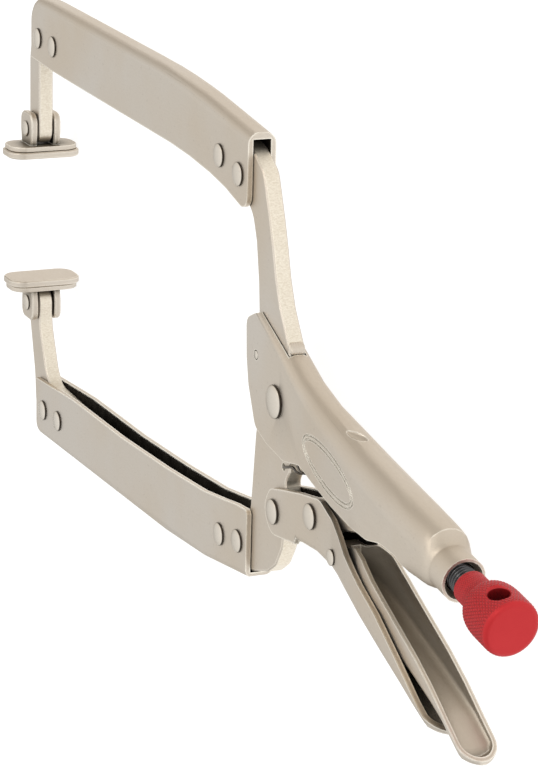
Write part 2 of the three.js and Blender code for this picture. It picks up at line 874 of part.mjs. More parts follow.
function assemble() {
  const group = new THREE.Group();
  group.name = 'locking_pliers';
  group.add(part('fixed_handle_shell', fixedHandleShell(), nickel));
  group.add(part('fixed_jaw_bar', fixedJawBar(), nickel));
  group.add(part('upper_arm_channel', upperArmChannel(), nickel));
  group.add(part('upper_arm_leg', upperArmLeg(), nickel));
  group.add(...rivetSet('upper_arm_rivet', upperRivets()));
  group.add(part('main_pivot_rivet', rivet(mainPivot, shellOuter, 6.3, 1.8, pivotShank), bright));
  group.add(part('shell_front_pin', shellFrontPin(), bright));
  group.add(part('lower_jaw_bar', lowerJawBar(), nickel));
  group.add(part('lower_arm_channel', lowerArmChannel(), nickel));
  group.add(part('lower_arm_leg', lowerArmLeg(), nickel));
  group.add(...rivetSet('lower_arm_rivet', lowerRivets()));
  group.add(part('lever_pivot_rivet', rivet(leverPivot, channelOuter, 4.8, 1.5, leverShank), bright));
  group.add(part('lever_handle', leverHandle(), nickel));
  group.add(part('link_rivet', rivet(linkPivot, channelOuter, 4.8, 1.5, leverShank), bright));
  group.add(part('release_rivet', rivet(releasePivot, channelOuter + 1.3, 3, 0.7, releaseShank), bright));
  group.add(part('toggle_link', toggleLink(), nickel));
  group.add(part('release_lever', releaseLever(), nickel));
  group.add(part('adjusting_screw', adjustingScrew(), black));
  group.add(part('adjusting_knob', adjustingKnob(), red));
  group.add(part('return_spring', returnSpring(), black));
  group.add(...pad('upper_pad', upperPadPin, false));
  group.add(...pad('lower_pad', lowerPadPin, true));
  const bounds = new THREE.Box3().setFromObject(group);
  const middle = bounds.getCenter(new THREE.Vector3());
  for (const mesh of group.children) mesh.geometry.translate(-middle.x, -middle.y, -bounds.min.z);
  return group;
}

export default assemble();
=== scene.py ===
import json
import math

import bmesh
import bpy
from mathutils import Matrix, Vector
from mathutils.bvhtree import BVHTree

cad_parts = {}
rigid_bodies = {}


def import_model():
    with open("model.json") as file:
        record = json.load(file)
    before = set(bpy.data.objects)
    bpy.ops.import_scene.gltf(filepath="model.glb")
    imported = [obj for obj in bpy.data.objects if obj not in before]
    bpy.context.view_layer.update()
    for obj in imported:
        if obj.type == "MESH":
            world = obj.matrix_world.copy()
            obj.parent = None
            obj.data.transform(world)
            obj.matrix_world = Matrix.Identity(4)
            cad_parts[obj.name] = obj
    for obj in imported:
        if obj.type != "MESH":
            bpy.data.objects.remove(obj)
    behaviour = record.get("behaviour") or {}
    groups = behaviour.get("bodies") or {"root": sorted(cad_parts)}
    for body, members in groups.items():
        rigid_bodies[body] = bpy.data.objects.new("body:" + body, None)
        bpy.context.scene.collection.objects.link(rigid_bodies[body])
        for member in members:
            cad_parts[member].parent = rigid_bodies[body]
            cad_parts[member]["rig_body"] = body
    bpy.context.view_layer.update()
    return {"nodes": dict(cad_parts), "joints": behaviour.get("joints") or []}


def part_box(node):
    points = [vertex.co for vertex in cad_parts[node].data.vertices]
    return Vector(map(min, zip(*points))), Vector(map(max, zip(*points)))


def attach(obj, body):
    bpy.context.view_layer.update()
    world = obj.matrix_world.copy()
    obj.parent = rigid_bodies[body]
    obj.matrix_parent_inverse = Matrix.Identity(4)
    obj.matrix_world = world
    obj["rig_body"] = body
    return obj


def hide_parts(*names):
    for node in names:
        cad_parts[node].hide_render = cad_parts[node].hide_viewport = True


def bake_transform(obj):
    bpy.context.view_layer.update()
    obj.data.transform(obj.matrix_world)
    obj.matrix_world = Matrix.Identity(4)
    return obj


bl_info = {
    "name": "Long-reach locking pliers",
    "version": (1, 0, 0),
    "blender": (4, 5, 0),
    "location": "View3D > Sidebar > Locking pliers",
    "description": "Finishes the pieces of a pair of long-reach locking pliers "
                   "around its CAD frame",
    "category": "Add Mesh",
}

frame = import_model()

STEEL = "nickel_plated_steel"
RIVET = "rivet_steel"
BAR = "sheared_bar_plate"
HOLLOW = "hollow_sheet_plate"
LEVER = "lever_plate"
RELEASE = "release_lever_plate"
BLACK = "black_oxide_steel"
RED = "red_anodised_aluminium"
WIRE = "spring_wire"

# Reference axes of the tool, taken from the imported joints.
JOINTS = {j["name"]: j for j in frame["joints"]}
JAW_PIVOT = Vector(JOINTS["jaw_pivot"]["pos_m"])
MID_Z = JAW_PIVOT.z
SCREW_AXIS = Vector(JOINTS["screw_feed"]["axis"]).normalized()
KNOB_POINT = Vector(JOINTS["knob_turn"]["pos_m"])


# ---------- settings ----------

class PliersSizes(bpy.types.PropertyGroup):
    edge: bpy.props.FloatProperty(
        name="Edge break", description="Rounding of the edges of bars and plates",
        default=0.0005, unit="LENGTH")
    thin_edge: bpy.props.FloatProperty(
        name="Sheet edge", description="Rounding of the edges of bent sheet",
        default=0.0003, unit="LENGTH")
    thread_pitch: bpy.props.FloatProperty(
        name="Thread pitch", description="Pitch of the adjusting screw",
        default=0.0015, unit="LENGTH")
    thread_depth: bpy.props.FloatProperty(
        name="Thread depth", description="Depth of the adjusting screw thread",
        default=0.0009, unit="LENGTH")
    knurl_count: bpy.props.IntProperty(
        name="Knurl lines", description="Knurl lines round the knob", default=50)
    knurl_depth: bpy.props.FloatProperty(
        name="Knurl depth", description="Depth of the diamond knurl",
        default=0.00024, unit="LENGTH")


class PliersFinishes(bpy.types.PropertyGroup):
    nickel: bpy.props.FloatVectorProperty(
        name="Nickel plate", description="Colour of the plated steel",
        default=(0.655, 0.605, 0.54), subtype="COLOR", size=3)
    rivet: bpy.props.FloatVectorProperty(
        name="Rivet steel", description="Colour of the rivet heads",
        default=(0.72, 0.665, 0.585), subtype="COLOR", size=3)
    black: bpy.props.FloatVectorProperty(
        name="Black oxide", description="Colour of the screw",
        default=(0.070, 0.070, 0.072), subtype="COLOR", size=3)
    red: bpy.props.FloatVectorProperty(
        name="Red anodising", description="Colour of the knob",
        default=(0.51, 0.014, 0.018), subtype="COLOR", size=3)
    roughness: bpy.props.FloatProperty(
        name="Plate roughness", description="Roughness of the plated steel",
        default=0.42, min=0.0, max=1.0)


def sizes():
    return bpy.context.scene.pliers_sizes


def finishes():
    return bpy.context.scene.pliers_finishes


# ---------- shader groups ----------

def new_group(name, inputs, outputs):
    group = bpy.data.node_groups.new(name, "ShaderNodeTree")
    for label, kind, value in inputs:
        socket = group.interface.new_socket(label, in_out="INPUT", socket_type=kind)
        socket.default_value = value
    for label, kind in outputs:
        group.interface.new_socket(label, in_out="OUTPUT", socket_type=kind)
    source = group.nodes.new("NodeGroupInput")
    target = group.nodes.new("NodeGroupOutput")
    return group, source, target


def math_node(tree, operation, first, second=None, clamp=False):
    node = tree.nodes.new("ShaderNodeMath")
    node.operation = operation
    node.use_clamp = clamp
    for index, value in enumerate((first, second)):
        if value is None:
            continue
        if isinstance(value, (int, float)):
            node.inputs[index].default_value = value
        else:
            tree.links.new(value, node.inputs[index])
    return node.outputs[0]


def times(tree, value, factor):
    return math_node(tree, "MULTIPLY", value, factor)


def scaled_coords(tree, scale):
    coords = tree.nodes.new("ShaderNodeTexCoord")
    mapping = tree.nodes.new("ShaderNodeMapping")
    mapping.inputs["Scale"].default_value = scale
    tree.links.new(coords.outputs["Object"], mapping.inputs["Vector"])
    return mapping.outputs["Vector"]


def noise(tree, vector, scale, detail=3.0, rough=0.5):
    node = tree.nodes.new("ShaderNodeTexNoise")
    node.inputs["Scale"].default_value = scale
    node.inputs["Detail"].default_value = detail
    node.inputs["Roughness"].default_value = rough
    tree.links.new(vector, node.inputs["Vector"])
    return node.outputs["Fac"]


def ramp(tree, value, low, high, out_low=0.0, out_high=1.0):
    node = tree.nodes.new("ShaderNodeMapRange")
    tree.links.new(value, node.inputs["Value"])
    for label, number in (("From Min", low), ("From Max", high),
                          ("To Min", out_low), ("To Max", out_high)):
        node.inputs[label].default_value = number
    return node.outputs["Result"]


def mix_colour(tree, factor, first, second, blend="MIX"):
    node = tree.nodes.new("ShaderNodeMix")
    node.data_type = "RGBA"
    node.blend_type = blend
    colour_in = [s for s in node.inputs if s.type == "RGBA"]
    factor_in = [s for s in node.inputs if s.name == "Factor" and s.type == "VALUE"][0]
    for socket, value in ((factor_in, factor), (colour_in[0], first),
                          (colour_in[1], second)):
        if isinstance(value, (int, float, tuple)):
            socket.default_value = value
        else:
            tree.links.new(value, socket)
    return [s for s in node.outputs if s.type == "RGBA"][0]


def build_edge_wear_and_highlight():
    """Mask that is 1 on outer edges, which the finishes paint as worn and with a painted
    highlight, and 0 on flat faces.
    """
    group, source, target = new_group(
        "Edge wear and highlight",
        [("Radius", "NodeSocketFloat", 0.0008), ("Breakup", "NodeSocketFloat", 0.5)],
        [("Mask", "NodeSocketFloat")])
    bevel = group.nodes.new("ShaderNodeBevel")
    bevel.samples = 4
    group.links.new(source.outputs["Radius"], bevel.inputs["Radius"])
    geometry = group.nodes.new("ShaderNodeNewGeometry")
    dot = group.nodes.new("ShaderNodeVectorMath")
    dot.operation = "DOT_PRODUCT"
    group.links.new(bevel.outputs["Normal"], dot.inputs[0])
    group.links.new(geometry.outputs["Normal"], dot.inputs[1])
    edge = ramp(group, dot.outputs["Value"], 0.995, 0.90)
    patch = noise(group, scaled_coords(group, (1, 1, 1)), 260.0, 4.0, 0.6)
    patch = ramp(group, patch, 0.35, 0.62)
    broken = math_node(group, "MULTIPLY", patch, source.outputs["Breakup"])
    keep = math_node(group, "SUBTRACT", 1.0, source.outputs["Breakup"])
    cover = math_node(group, "ADD", broken, keep, clamp=True)
    group.links.new(math_node(group, "MULTIPLY", edge, cover, clamp=True),
                    target.inputs["Mask"])
    return group


def build_plate_grain():
    """Fine satin grain of plated sheet: a height, and grain, cloud and speck masks."""
    group, source, target = new_group(
        "Plate grain",
        [("Grain scale", "NodeSocketFloat", 1500.0),
         ("Cloud scale", "NodeSocketFloat", 26.0)],
        [("Height", "NodeSocketFloat"), ("Grain", "NodeSocketFloat"),
         ("Cloud", "NodeSocketFloat"), ("Specks", "NodeSocketFloat")])
    fine = group.nodes.new("ShaderNodeTexNoise")
    fine.inputs["Detail"].default_value = 4.0
    group.links.new(scaled_coords(group, (0.35, 1, 1)), fine.inputs["Vector"])
    group.links.new(source.outputs["Grain scale"], fine.inputs["Scale"])
    cloud = group.nodes.new("ShaderNodeTexNoise")
    cloud.inputs["Detail"].default_value = 3.0
    cloud.inputs["Roughness"].default_value = 0.55
    group.links.new(scaled_coords(group, (1, 1, 1)), cloud.inputs["Vector"])
    group.links.new(source.outputs["Cloud scale"], cloud.inputs["Scale"])
    speck = noise(group, scaled_coords(group, (1, 1, 1)), 620.0, 2.0, 0.5)
    lines = noise(group, scaled_coords(group, (0.06, 1, 1)), 2600.0, 2.0, 0.5)
    height = math_node(group, "ADD", times(group, fine.outputs["Fac"], 0.7),
                       times(group, lines, 0.3))
    group.links.new(height, target.inputs["Height"])
    group.links.new(ramp(group, height, 0.3, 0.7), target.inputs["Grain"])
    group.links.new(ramp(group, cloud.outputs["Fac"], 0.35, 0.68), target.inputs["Cloud"])
    group.links.new(ramp(group, speck, 0.66, 0.74), target.inputs["Specks"])
    return group


def build_recess():
    """How sheltered a point is inside its own piece: a soft mask and a deep mask, which
    the finishes use for painted shade.
    """
    group, source, target = new_group(
        "Recess",
        [("Distance", "NodeSocketFloat", 0.012), ("Power", "NodeSocketFloat", 1.0)],
        [("Soft", "NodeSocketFloat"), ("Deep", "NodeSocketFloat")])
    hollow = group.nodes.new("ShaderNodeAmbientOcclusion")
    hollow.samples = 6
    hollow.only_local = True
    group.links.new(source.outputs["Distance"], hollow.inputs["Distance"])
    patch = noise(group, scaled_coords(group, (1, 1, 1)), 180.0, 4.0, 0.6)
    patch = ramp(group, patch, 0.2, 0.6, 0.93, 1.0)
    openness = math_node(group, "POWER", hollow.outputs["AO"], source.outputs["Power"])
    soft = ramp(group, openness, 0.90, 0.62)
    deep = ramp(group, openness, 0.70, 0.44)
    group.links.new(math_node(group, "MULTIPLY", soft, patch, clamp=True),
                    target.inputs["Soft"])
    group.links.new(math_node(group, "MULTIPLY", deep, patch, clamp=True),
                    target.inputs["Deep"])
    return group


def group_node(tree, name, **values):
    node = tree.nodes.new("ShaderNodeGroup")
    node.node_tree = bpy.data.node_groups[name]
    for label, value in values.items():
        node.inputs[label.replace("_", " ")].default_value = value
    return node


# ---------- materials ----------

# Colours that the finishes mix in.
SPECK = (0.36, 0.31, 0.25, 1)
# Painted shade colours for shallow recesses, deep recesses and steep side walls.
PAINTED_RECESS_SHADE = (0.25, 0.21, 0.15, 1)
PAINTED_DEEP_SHADE = (0.010, 0.008, 0.006, 1)
SIDE_WALL_SHADE = (0.030, 0.024, 0.019, 1)
# Torn grain of the steep edge faces, lifted brighter than the plate as a painted
# highlight.
TORN_DARK = (0.76, 0.68, 0.54, 1)
TORN_GRAIN_HIGHLIGHT = (1.0, 0.94, 0.81, 1)
# Bright edge colour: wear, brightened further as a painted highlight.
WORN_AND_HIGHLIGHT_PLATE = (1.0, 0.95, 0.84, 1)
WORN_AND_HIGHLIGHT_BLACK = (0.55, 0.53, 0.50, 1)
RUBBED_RED = (0.70, 0.10, 0.09, 1)
# Painted shade in the knob's hollows.
RED_RECESS_SHADE = (0.16, 0.004, 0.005, 1)
RED_DEEP_SHADE = (0.03, 0.001, 0.001, 1)
WIRE_DARK = (0.12, 0.11, 0.10, 1)
WIRE_BRIGHT = (0.26, 0.23, 0.19, 1)

# Shares of red, green and blue that tint a finish.
TAN_TINT = (0.94, 0.88, 0.79)
# Darker, warmer painted tone of faces turned to +Y.
PLUS_Y_SHADE_TINT = (0.85, 0.78, 0.69)
RED_CLOUD_TINT = (1.12, 1.7, 1.5)

# What sets each plated finish apart from plain plate.
PLATED_FINISHES = {
    STEEL: {},
    BAR: {"torn_texture_and_highlight": 0.6},
    HOLLOW: {"power": 1.9, "edge_width": 0.0010},
    LEVER: {"hollow": 0.035, "power": 2.8, "edge_width": 0.0012},
    RELEASE: {"hollow": 0.013, "recess_shade": 0.6, "deep_shade": 0.35, "edge_width": 0.0011},
}
RIVET_ROUGHNESS = 0.27
# Rivet heads: painted shade on their steep side walls and a weak painted highlight on
# their edges.
RIVET_FINISH = {"tan": 0.2, "grain": 0.12, "edge_width": 0.0003, "side_shade": 0.95, "shine": 0.35}


def rgba(colour, factor=1.0):
    return tuple(c * factor for c in colour) + (1.0,)


def tinted(colour, tint):
    return tuple(c * t for c, t in zip(colour, tint)) + (1,)


def blank_material(name):
    material = bpy.data.materials.new("finish_" + name)
    material.use_nodes = True
    tree = material.node_tree
    shader = tree.nodes["Principled BSDF"]
    return material, tree, shader


def bump(tree, height, strength, distance):
    node = tree.nodes.new("ShaderNodeBump")
    node.inputs["Strength"].default_value = strength
    node.inputs["Distance"].default_value = distance
    tree.links.new(height, node.inputs["Height"])
    return node.outputs["Normal"]


def steepness(tree, side_z, low, high):
    """Mask that rises as a face turns away from the flat sides of the tool."""
    return ramp(tree, math_node(tree, "ABSOLUTE", side_z), low, high)


def plated_roughness(tree, roughness, surface, edges, recess):
    """Roughness that the grain and clouds raise, worn edges lower and recesses raise."""
    rough = math_node(tree, "MULTIPLY_ADD", surface.outputs["Grain"], 0.10)
    rough.node.inputs[2].default_value = roughness - 0.05
    rough = math_node(tree, "ADD", rough, times(tree, surface.outputs["Cloud"], 0.07))
    rough = math_node(tree, "SUBTRACT", rough, times(tree, edges.outputs["Mask"], 0.12))
    return math_node(tree, "ADD", rough, times(tree, recess.outputs["Deep"], 0.3),
                     clamp=True)


def plated_material(name, colour, roughness, tan=0.7, grain=0.3, edge_width=0.0007,
                    hollow=0.03, recess_shade=0.85, deep_shade=1.0, power=1.0, side_shade=0.0,
                    torn_texture_and_highlight=0.0, shine=1.0):
    """Satin nickel plate: warm clouds, fine grain, worn edges with a painted highlight,
    painted shade in recesses and a darker, warmer painted tone on faces turned to +Y.

    edge_width is the width of the worn, highlighted edges and hollow the reach of the
    recesses, in metres.
    tan, grain, recess_shade, deep_shade, side_shade, torn_texture_and_highlight and shine
    say how much shows of the clouds, the grain, painted shade in shallow and deep
    recesses, painted shade on steep side walls, torn grain lifted brighter as a painted
    highlight, and worn edges with a painted highlight.
    """
    material, tree, shader = blank_material(name)
    surface = group_node(tree, "Plate grain", Grain_scale=1500.0, Cloud_scale=17.0)
    edges = group_node(tree, "Edge wear and highlight", Radius=edge_width, Breakup=0.3)
    recess = group_node(tree, "Recess", Distance=hollow, Power=power)
    base = mix_colour(tree, times(tree, surface.outputs["Cloud"], tan),
                      rgba(colour), tinted(colour, TAN_TINT))
    base = mix_colour(tree, times(tree, surface.outputs["Grain"], 0.10),
                      base, rgba(colour, 0.72))
    base = mix_colour(tree, times(tree, surface.outputs["Specks"], 0.22), base, SPECK)
    coords = tree.nodes.new("ShaderNodeTexCoord")
    facing = tree.nodes.new("ShaderNodeSeparateXYZ")
    tree.links.new(coords.outputs["Normal"], facing.inputs[0])
    # Faces turned to +Y, where the light falls, get a darker, warmer painted tone for how
    # that light falls on them.
    back = ramp(tree, facing.outputs["Y"], 0.15, 0.80, 0.0, 0.8)
    base = mix_colour(tree, back, base, tinted(colour, PLUS_Y_SHADE_TINT))
    # Painted shade in recesses, darkest in the deep ones.
    base = mix_colour(tree, times(tree, recess.outputs["Soft"], recess_shade), base, PAINTED_RECESS_SHADE)
    base = mix_colour(tree, times(tree, recess.outputs["Deep"], deep_shade), base, PAINTED_DEEP_SHADE)
    if side_shade:
        # Painted shade on steep side walls, such as the rims of rivet heads.
        steep = steepness(tree, facing.outputs["Z"], 0.80, 0.50)
        base = mix_colour(tree, times(tree, steep, side_shade), base, SIDE_WALL_SHADE)
    # Steep edge faces: torn grain, lifted brighter than the plate as a painted highlight.
    if torn_texture_and_highlight:
        steep = steepness(tree, facing.outputs["Z"], 0.60, 0.30)
        tears = noise(tree, scaled_coords(tree, (1, 0.5, 0.3)), 3400.0, 4.0, 0.65)
        edge = mix_colour(tree, ramp(tree, tears, 0.35, 0.65), TORN_DARK, TORN_GRAIN_HIGHLIGHT)
        base = mix_colour(tree, times(tree, steep, torn_texture_and_highlight), base, edge)
    # Outer edges: wear, lifted brighter as a painted highlight.
    base = mix_colour(tree, times(tree, edges.outputs["Mask"], shine), base, WORN_AND_HIGHLIGHT_PLATE)
    tree.links.new(base, shader.inputs["Base Color"])
    tree.links.new(plated_roughness(tree, roughness, surface, edges, recess),
                   shader.inputs["Roughness"])
    # Metallic and specular fall in deep recesses, which deepens the painted shade there.
    tree.links.new(ramp(tree, recess.outputs["Deep"], 0, 1, 1.0, 0.2),
                   shader.inputs["Metallic"])
    tree.links.new(ramp(tree, recess.outputs["Deep"], 0, 1, 0.5, 0.04),
                   shader.inputs["Specular IOR Level"])
    tree.links.new(bump(tree, surface.outputs["Height"], grain, 0.00012),
                   shader.inputs["Normal"])
    return material


def black_material(name):
    """Black oxide, rubbed bright on the crests of the thread, with a painted highlight on
    the same crests.
    """
    material, tree, shader = blank_material(name)
    edges = group_node(tree, "Edge wear and highlight", Radius=0.0003, Breakup=0.7)
    surface = group_node(tree, "Plate grain", Grain_scale=2600.0, Cloud_scale=90.0)
    colour = finishes().black
    base = mix_colour(tree, times(tree, surface.outputs["Cloud"], 0.5),
                      rgba(colour), rgba(colour, 1.9))
    # Thread crests: wear and a painted highlight.
    base = mix_colour(tree, times(tree, edges.outputs["Mask"], 0.9), base, WORN_AND_HIGHLIGHT_BLACK)
    tree.links.new(base, shader.inputs["Base Color"])
    shader.inputs["Metallic"].default_value = 1.0
    tree.links.new(ramp(tree, surface.outputs["Grain"], 0, 1, 0.22, 0.34),
                   shader.inputs["Roughness"])
    tree.links.new(bump(tree, surface.outputs["Height"], 0.3, 0.0001),
                   shader.inputs["Normal"])
    return material


def red_material(name):
    """Matte red anodising, paler where the knurl and edges are rubbed, with painted shade
    in its hollows.
    """
    material, tree, shader = blank_material(name)
    edges = group_node(tree, "Edge wear and highlight", Radius=0.0004, Breakup=0.5)
    surface = group_node(tree, "Plate grain", Grain_scale=2200.0, Cloud_scale=60.0)
    recess = group_node(tree, "Recess", Distance=0.006, Power=1.4)
    colour = finishes().red
    base = mix_colour(tree, times(tree, surface.outputs["Cloud"], 0.35),
                      rgba(colour), tinted(colour, RED_CLOUD_TINT))
    base = mix_colour(tree, times(tree, edges.outputs["Mask"], 0.25), base, RUBBED_RED)
    # Painted shade in the socket and the cross hole.
    base = mix_colour(tree, recess.outputs["Soft"], base, RED_RECESS_SHADE)
    base = mix_colour(tree, recess.outputs["Deep"], base, RED_DEEP_SHADE)
    tree.links.new(base, shader.inputs["Base Color"])
    shader.inputs["Metallic"].default_value = 0.45
    tree.links.new(ramp(tree, surface.outputs["Grain"], 0, 1, 0.38, 0.50),
                   shader.inputs["Roughness"])
    tree.links.new(bump(tree, surface.outputs["Height"], 0.35, 0.0001),
                   shader.inputs["Normal"])
    return material


def wire_material(name):
    """Dull drawn wire."""
    material, tree, shader = blank_material(name)
    surface = group_node(tree, "Plate grain", Grain_scale=3000.0, Cloud_scale=120.0)
    base = mix_colour(tree, surface.outputs["Cloud"], WIRE_DARK, WIRE_BRIGHT)
    tree.links.new(base, shader.inputs["Base Color"])
    shader.inputs["Metallic"].default_value = 1.0
    tree.links.new(ramp(tree, surface.outputs["Grain"], 0, 1, 0.28, 0.42),
                   shader.inputs["Roughness"])
    return material


def material(slot_name):
    return bpy.data.materials["finish_" + slot_name]


# ---------- mesh helpers ----------

def place(name, mesh, body, slot_name, nodes=(), finish=None):
    """Puts a finished mesh into the scene as a named piece of a body."""
    piece = bpy.data.objects.new(name, mesh)
    bpy.context.scene.collection.objects.link(piece)
    mesh.materials.clear()
    mesh.materials.append(material(finish or slot_name))
    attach(piece, body)
    if nodes:
        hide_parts(*nodes)
    return piece


def body_of_node(node):
    return frame["nodes"][node]["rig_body"]


# Metres: a gap that joins two vertices, an edge too short to keep, and the tip of a
# turned piece, which is never quite a point.
SAME_VERTEX = 2e-6
SHORT_EDGE = 1e-6
LEAST_RADIUS = 1e-6


def clean(bm, flat):
    """Joins double vertices and the triangles of each flat face."""
    bmesh.ops.remove_doubles(bm, verts=bm.verts, dist=SAME_VERTEX)
    bmesh.ops.dissolve_degenerate(bm, edges=bm.edges, dist=SHORT_EDGE)
    bmesh.ops.dissolve_limit(bm, angle_limit=math.radians(flat), verts=bm.verts,
                             edges=bm.edges, use_dissolve_boundaries=False)


def shade(mesh, angle):
    """Smooth faces, with edges sharper than the angle left crisp."""
    bm = bmesh.new()
    bm.from_mesh(mesh)
    limit = math.radians(angle)
    for edge in bm.edges:
        edge.smooth = not (len(edge.link_faces) == 2 and edge.calc_face_angle(0.0) > limit)
    for face in bm.faces:
        face.smooth = True
    bm.to_mesh(mesh)
    bm.free()


def applied(piece_mesh, setup):
    """Mesh after the modifiers that setup adds to a temporary object."""
    helper = bpy.data.objects.new("helper", piece_mesh)
    bpy.context.scene.collection.objects.link(helper)
    setup(helper)
    depsgraph = bpy.context.evaluated_depsgraph_get()
    result = bpy.data.meshes.new_from_object(helper.evaluated_get(depsgraph),
                                             preserve_all_data_layers=True,
                                             depsgraph=depsgraph)
    bpy.data.objects.remove(helper)
    return result


def bevelled(mesh, width, segments, angle):
    """Mesh with its sharp edges rounded and its flat faces shaded flat."""
    def setup(helper):
        bevel = helper.modifiers.new("edge break", "BEVEL")
        bevel.width = width
        bevel.segments = segments
        bevel.limit_method = "ANGLE"
        bevel.angle_limit = math.radians(angle)
        bevel.use_clamp_overlap = True
        bevel.miter_outer = "MITER_ARC"
        even = helper.modifiers.new("even shading", "WEIGHTED_NORMAL")
        even.mode = "FACE_AREA_WITH_ANGLE"
        even.weight = 60
    return applied(mesh, setup)


def cut(mesh, cutter_mesh):
    """New mesh: the first with the cutter taken away."""
    cutter = bpy.data.objects.new("cutter", cutter_mesh)
    bpy.context.scene.collection.objects.link(cutter)

    def setup(helper):
        boolean = helper.modifiers.new("cut", "BOOLEAN")
        boolean.object = cutter
        boolean.operation = "DIFFERENCE"
        boolean.solver = "EXACT"
    result = applied(mesh, setup)
    bpy.data.objects.remove(cutter)
    return result


def refined(node, width, segments=3, angle=30.0, flat=0.6):
    """Copy of a CAD node's mesh with clean faces and rounded edges."""
    mesh = frame["nodes"][node].data.copy()
    bm = bmesh.new()
    bm.from_mesh(mesh)
    clean(bm, flat)
    for face in bm.faces:
        face.smooth = True
    bm.to_mesh(mesh)
    bm.free()
    return bevelled(mesh, width, segments, angle)


def grid_mesh(name, rows, ring=False):
    """Closed quad mesh through rows of points; a ring joins its last row to its first."""
    mesh = bpy.data.meshes.new(name)
    count = len(rows[0])
    verts = [p for row in rows for p in row]
    faces = []
    for r in range(len(rows) if ring else len(rows) - 1):
        here, after = r * count, (r + 1) % len(rows) * count
        for k in range(count):
            turn = (k + 1) % count
            faces.append((here + k, here + turn, after + turn, after + k))
    if not ring:
        faces.append(tuple(reversed(range(count))))
        faces.append(tuple(range((len(rows) - 1) * count, len(rows) * count)))
    mesh.from_pydata(verts, [], faces)
    bm = bmesh.new()
    bm.from_mesh(mesh)
    bmesh.ops.recalc_face_normals(bm, faces=bm.faces)
    bm.to_mesh(mesh)
    bm.free()
    return mesh


def turned(name, profile, origin, axis, count):
    """Solid of revolution; profile is (radius, distance along the axis)."""
    axis = Vector(axis).normalized()
    side = axis.orthogonal().normalized()
    other = axis.cross(side)
    rows = []
    for radius, along in profile:
        centre = Vector(origin) + axis * along
        reach = max(radius, LEAST_RADIUS)
        rows.append([centre + (side * math.cos(a) + other * math.sin(a)) * reach
                     for a in (2 * math.pi * k / count for k in range(count))])
    return grid_mesh(name, rows)


# ---------- pieces ----------

RIVET_GROUPS = {
    "frame": ["upper_arm_rivet_1", "upper_arm_rivet_2", "upper_arm_rivet_3",
              "upper_arm_rivet_4", "main_pivot_rivet", "shell_front_pin"],
    "lower_jaw": ["lower_arm_rivet_1", "lower_arm_rivet_2", "lower_arm_rivet_3",
                  "lower_arm_rivet_4", "lever_pivot_rivet"],
    "lever": ["link_rivet", "release_rivet"],
}


class PliersMaterials(bpy.types.Operator):
    """Builds the shader groups and the finishes"""
    bl_idname = "pliers.materials"
    bl_label = "Finishes"

    def execute(self, context):
        build_edge_wear_and_highlight()
        build_plate_grain()
        build_recess()
        for name, changes in PLATED_FINISHES.items():
            plated_material(name, finishes().nickel, finishes().roughness, **changes)
        plated_material(RIVET, finishes().rivet, RIVET_ROUGHNESS, **RIVET_FINISH)
        black_material(BLACK)
        red_material(RED)
        wire_material(WIRE)
        for node in frame["nodes"].values():
            node.data.materials.clear()
            node.data.materials.append(material(STEEL))
        return {"FINISHED"}


class PliersBars(bpy.types.Operator):
    """Finishes the jaw bars, the legs and the toggle link"""
    bl_idname = "pliers.bars"
    bl_label = "Jaw bars and legs"

    def execute(self, context):
        for node in ("fixed_jaw_bar", "lower_jaw_bar", "upper_arm_leg", "lower_arm_leg",
                     "toggle_link"):
            mesh = refined(node, sizes().edge)
            place("solid_" + node, mesh, body_of_node(node), STEEL, [node], BAR)
        return {"FINISHED"}


class PliersChannels(bpy.types.Operator):
    """Finishes the two arm channels"""
    bl_idname = "pliers.channels"
    bl_label = "Arm channels"

    def execute(self, context):
        for node in ("upper_arm_channel", "lower_arm_channel"):
            mesh = refined(node, sizes().thin_edge, angle=40)
            place("solid_" + node, mesh, body_of_node(node), STEEL, [node], HOLLOW)
        return {"FINISHED"}


# Small features of the fixed handle, measured in metres from the main pivot.
OVAL_CENTRE = (0.0500, -0.0107)
OVAL_HALF = (0.0240, 0.0073)
OVAL_TURN = math.radians(-9.5)
OVAL_GROOVE = 0.0004
OVAL_STEP = 0.0017
DENT_FROM = (0.0545, 0.0033)
DENT_TO = (0.0640, -0.0009)
DENT_HALF = (0.0010, 0.0021)
BEAD_AT = (0.0051, 0.0209)
BEAD_HALF = (0.0011, 0.0024)
BEAD_TURN = math.radians(22)
BEAD_RIPPLE = 0.035
BEAD_RIPPLE_RATE = 21
ABOVE = 0.01  # how far outside the handle a search for its surface starts


def main_pivot():
    low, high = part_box("main_pivot_rivet")
    return (low + high) / 2


def touch(node, start, direction):
    """First point and normal of a CAD node met from a start point."""
    mesh = frame["nodes"][node].data
    tree = BVHTree.FromPolygons([v.co for v in mesh.vertices],
                                [tuple(f.vertices) for f in mesh.polygons])
    point, normal, _, _ = tree.ray_cast(Vector(start), Vector(direction))
    if point is None:
        raise RuntimeError("nothing of " + node + " below the start point")
    return point, normal


def turned_offset(centre, u, v, angle):
    """Place in the plane of the tool of a point given along a turned feature."""
    pivot = main_pivot()
    return (pivot.x + centre[0] + u * math.cos(angle) - v * math.sin(angle),
            pivot.y + centre[1] + u * math.sin(angle) + v * math.cos(angle))


